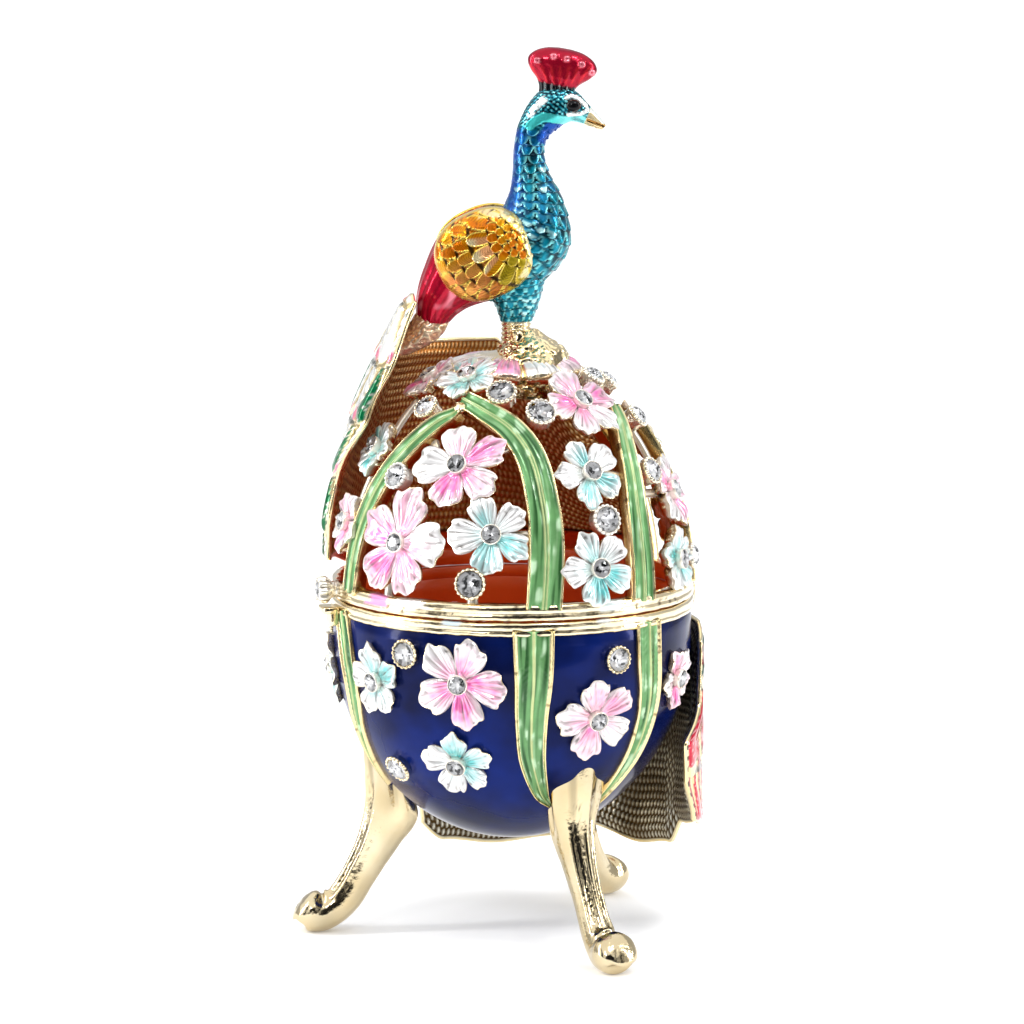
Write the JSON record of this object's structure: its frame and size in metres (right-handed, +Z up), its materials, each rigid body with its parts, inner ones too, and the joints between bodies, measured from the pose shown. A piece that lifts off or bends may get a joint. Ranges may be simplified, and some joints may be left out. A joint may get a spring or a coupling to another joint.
{
  "type": "jewelled egg trinket box",
  "caption": "Enamelled metal egg on curved legs, its openwork floral lid hinged at the rim and topped by a peacock whose train wraps the back; holds small trinkets.",
  "frame": {"origin": "middle of the whole object's footprint box, on the surface its feet stand on", "axes": "+Z up; +X the way the peacock faces; -Y towards the front, where the flowers and the openwork are and the train is not"},
  "size_m": [0.07, 0.0656, 0.15],
  "materials": {
    "navy_enamel": "gloss, translucent deep blue over metal",
    "leaf_enamel": "gloss, streaked green",
    "petal_enamel": "gloss, white shading to pink or aqua",
    "train_enamel": "gloss, dark green with red, white and gold",
    "peacock_enamel": "gloss, blue to teal over raised feathers",
    "crimson_enamel": "gloss",
    "amber_enamel": "gloss",
    "inner_enamel": "satin red-brown",
    "gold": "polished pale gold plate",
    "antique_gold": "stippled, darkened in the hollows",
    "crystal": "cut and polished, clear"
  },
  "bodies": {
    "base": {"egg_bowl": "navy_enamel", "leg_left": "gold", "leg_front_right": "gold", "leg_back": "gold", "lower_train": "train_enamel", "hinge_leaf_bowl": "gold", "hinge_pin": "gold", "clasp_catch": "gold", "bowl_stone_1": "crystal", "bowl_stone_2": "crystal", "bowl_stone_3": "crystal", "bowl_stone_4": "crystal", "bowl_flower_stone_1": "crystal", "bowl_flower_stone_2": "crystal", "bowl_flower_stone_3": "crystal", "bowl_flower_stone_4": "crystal", "bowl_flower_stone_5": "crystal", "bowl_flower_stone_6": "crystal"},
    "lid": {"egg_lid": "petal_enamel", "upper_train": "train_enamel", "peacock": "peacock_enamel", "hinge_leaf_lid": "gold", "clasp_knob": "gold", "clasp_stone": "crystal", "lid_stone_1": "crystal", "lid_stone_2": "crystal", "lid_stone_3": "crystal", "lid_stone_4": "crystal", "lid_stone_5": "crystal", "lid_stone_6": "crystal", "lid_stone_7": "crystal", "lid_stone_8": "crystal", "lid_stone_9": "crystal", "lid_stone_10": "crystal", "lid_stone_11": "crystal", "lid_flower_stone_1": "crystal", "lid_flower_stone_2": "crystal", "lid_flower_stone_3": "crystal", "lid_flower_stone_4": "crystal", "lid_flower_stone_5": "crystal", "lid_flower_stone_6": "crystal", "lid_flower_stone_7": "crystal", "lid_flower_stone_8": "crystal", "lid_flower_stone_9": "crystal", "lid_flower_stone_10": "crystal", "lid_flower_stone_11": "crystal", "lid_flower_stone_12": "crystal", "lid_flower_stone_13": "crystal", "lid_flower_stone_14": "crystal", "lid_flower_stone_15": "crystal"}
  },
  "joints": [
    {"name": "lid_hinge", "type": "hinge", "parent": "base", "child": "lid", "pos_m": [0.03162, 0.00838, 0.0585], "axis": [-0.2756, 0.9613, 0], "range_deg": [0, 55]}
  ]
}
